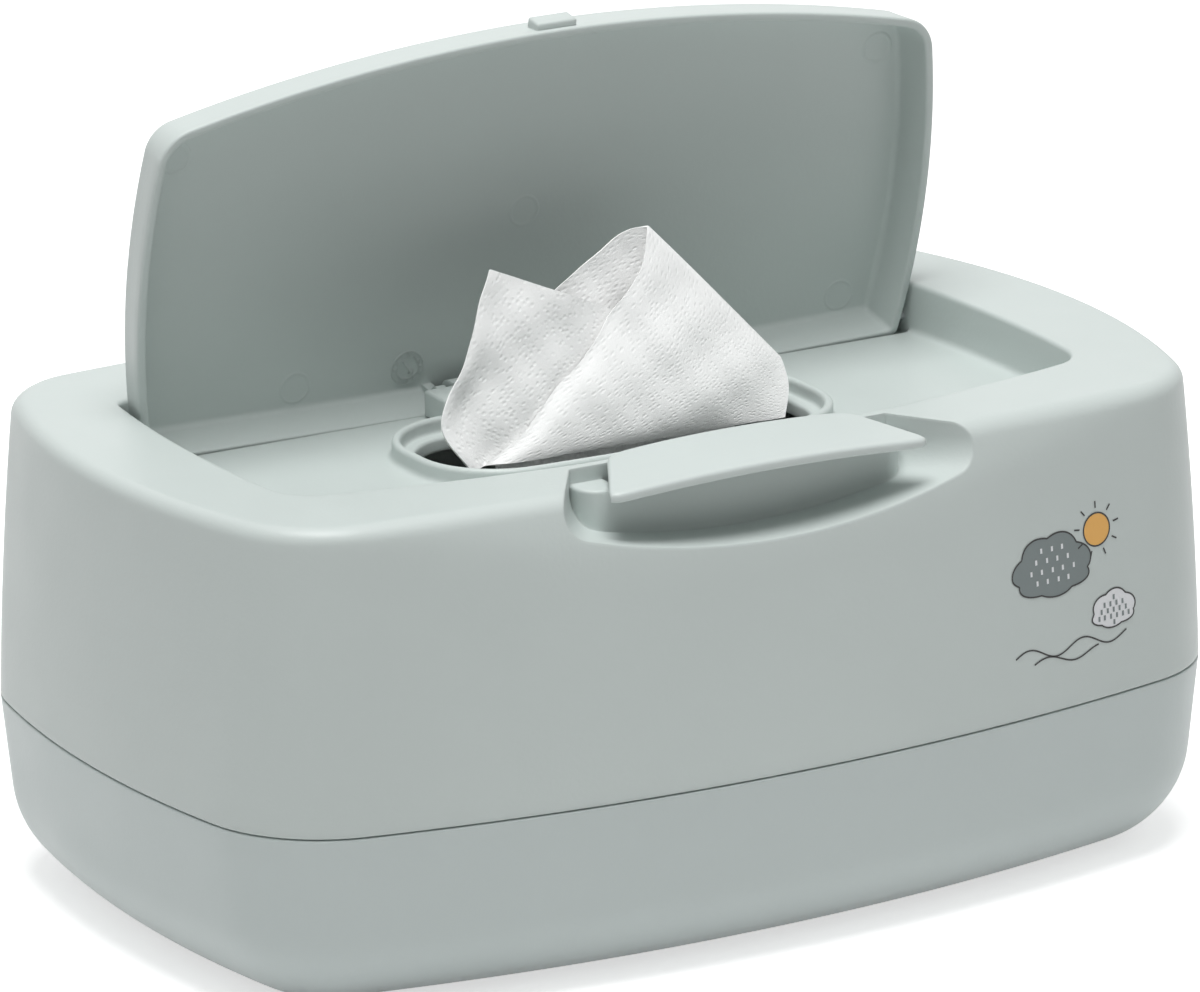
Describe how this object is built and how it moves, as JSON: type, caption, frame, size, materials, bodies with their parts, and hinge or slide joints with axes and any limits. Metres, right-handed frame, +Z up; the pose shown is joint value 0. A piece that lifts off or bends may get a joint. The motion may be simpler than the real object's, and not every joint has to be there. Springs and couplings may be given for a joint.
{
  "type": "wet wipes box",
  "caption": "Rounded plastic box that holds wet wipes: base tray, lift-off cover with a collared slot, sprung flip lid and push button.",
  "frame": {"origin": "on the surface the box stands on, under the middle of the box", "axes": "+X along the length to the right, +Y to the hinge side at the rear, +Z up"},
  "size_m": [0.25, 0.1642, 0.184],
  "materials": {
    "cover_plastic": "satin moulded plastic",
    "lid_plastic": "satin moulded plastic",
    "tray_plastic": "satin moulded plastic",
    "button_plastic": "satin moulded plastic",
    "steel": "bright drawn wire and rod",
    "seal_rubber": "soft matt elastomer",
    "pad_rubber": "soft matt elastomer",
    "tissue": "embossed damp nonwoven sheet"
  },
  "bodies": {
    "tray": {"base_tray": "tray_plastic", "seam_seal": "seal_rubber", "foot_pad_1": "pad_rubber", "foot_pad_2": "pad_rubber", "foot_pad_3": "pad_rubber", "foot_pad_4": "pad_rubber", "wipe_stack": "tissue", "wipe_feed": "tissue"},
    "cover": {"top_cover": "cover_plastic", "hinge_housing": "cover_plastic", "hinge_axle": "steel", "lid_spring": "steel", "lid_pin_left": "steel", "lid_pin_right": "steel", "housing_screw_left": "steel", "housing_screw_right": "steel", "button_axle": "steel", "button_spring": "steel", "wipe": "tissue"},
    "lid": {"flip_lid": "lid_plastic"},
    "button": {"push_button": "button_plastic"}
  },
  "joints": [
    {"name": "cover_lift", "type": "slide", "parent": "tray", "child": "cover", "axis": [0, 0, 1], "range_m": [0, 0.06]},
    {"name": "lid_hinge", "type": "hinge", "parent": "cover", "child": "lid", "pos_m": [0, 0.0324, 0.0992], "axis": [1, 0, 0], "range_deg": [0, 79.8], "stiffness_Nm_per_rad": 0.03, "springref_deg": -57.3, "deforming": ["wipe"]},
    {"name": "button_press", "type": "hinge", "parent": "cover", "child": "button", "pos_m": [0, -0.0573, 0.0918], "axis": [1, 0, 0], "range_deg": [0, 6], "stiffness_Nm_per_rad": 0.25, "springref_deg": -5.73}
  ]
}
